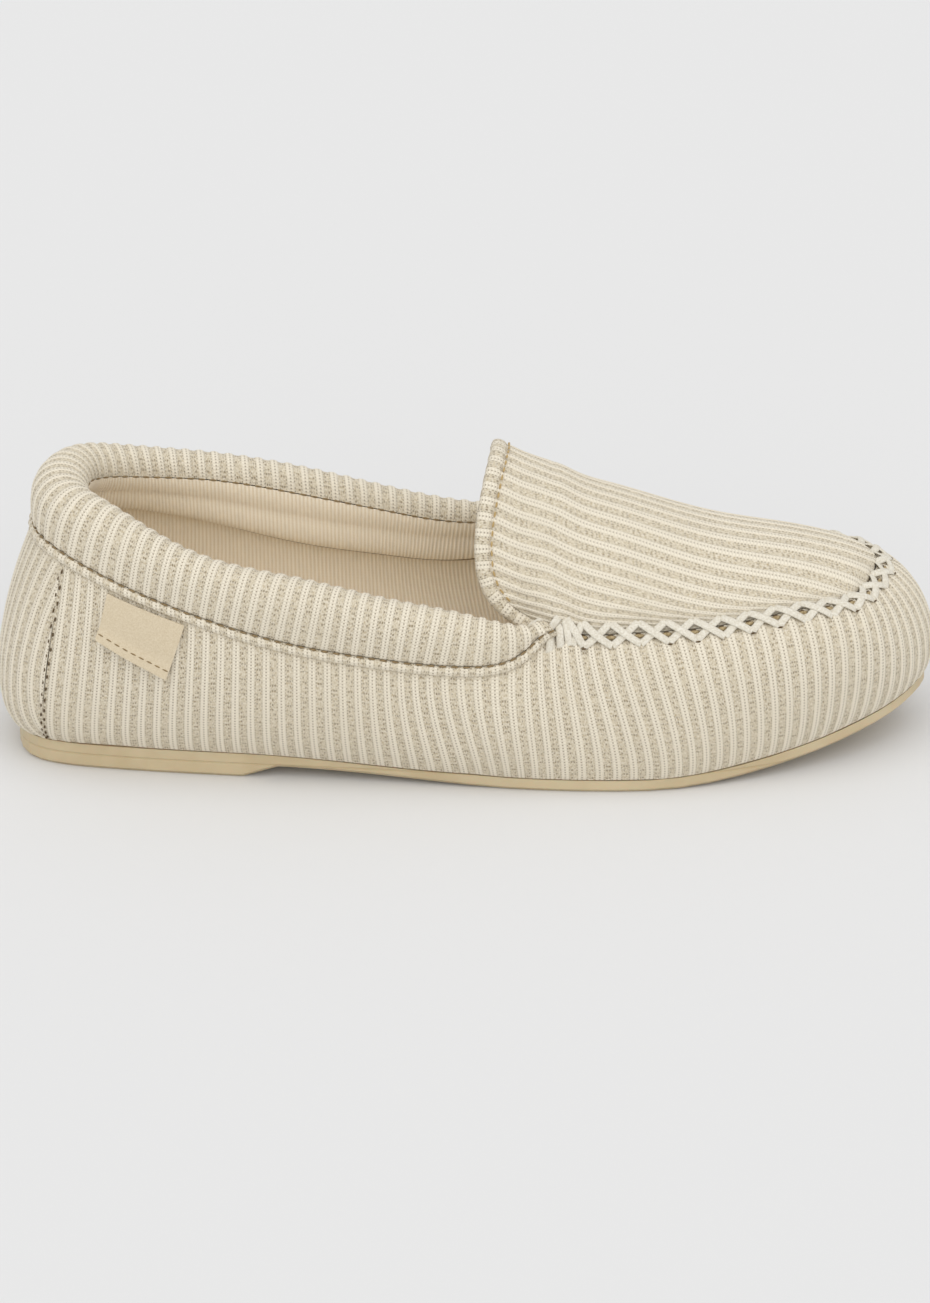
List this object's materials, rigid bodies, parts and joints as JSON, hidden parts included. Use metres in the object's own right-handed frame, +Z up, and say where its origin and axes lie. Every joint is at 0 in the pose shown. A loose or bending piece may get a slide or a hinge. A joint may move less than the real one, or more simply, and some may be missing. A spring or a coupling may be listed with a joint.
{
  "type": "moccasin slipper",
  "caption": "Right moccasin slipper in ribbed knit, with a cross-stitched apron, a padded collar, a soft lining and a thin moulded rubber sole with a low heel.",
  "frame": {"origin": "on the floor under the middle of the slipper's bounding box", "axes": "+X towards the toe, +Y towards the inner side of the foot, +Z up"},
  "size_m": [0.2494, 0.089, 0.083],
  "materials": {
    "outsole": "honey-coloured moulded rubber, satin, slightly translucent",
    "insole": "brushed terry footbed, warm beige",
    "upper": "ribbed knit, cream ribs over grey-beige marl",
    "apron": "ribbed knit, cream ribs over grey-beige marl, ribs along the foot",
    "throat_binding": "folded knit binding with a topstitch",
    "collar": "padded ribbed knit over a warm beige terry lining",
    "collar_piping": "folded knit strip with topstitches",
    "label": "plain cream woven tape, bare"
  },
  "bodies": {
    "root": {"outsole": "outsole", "insole": "insole", "upper": "upper", "apron": "apron", "throat_binding": "throat_binding", "collar": "collar", "collar_piping": "collar_piping", "label": "label"}
  },
  "joints": []
}
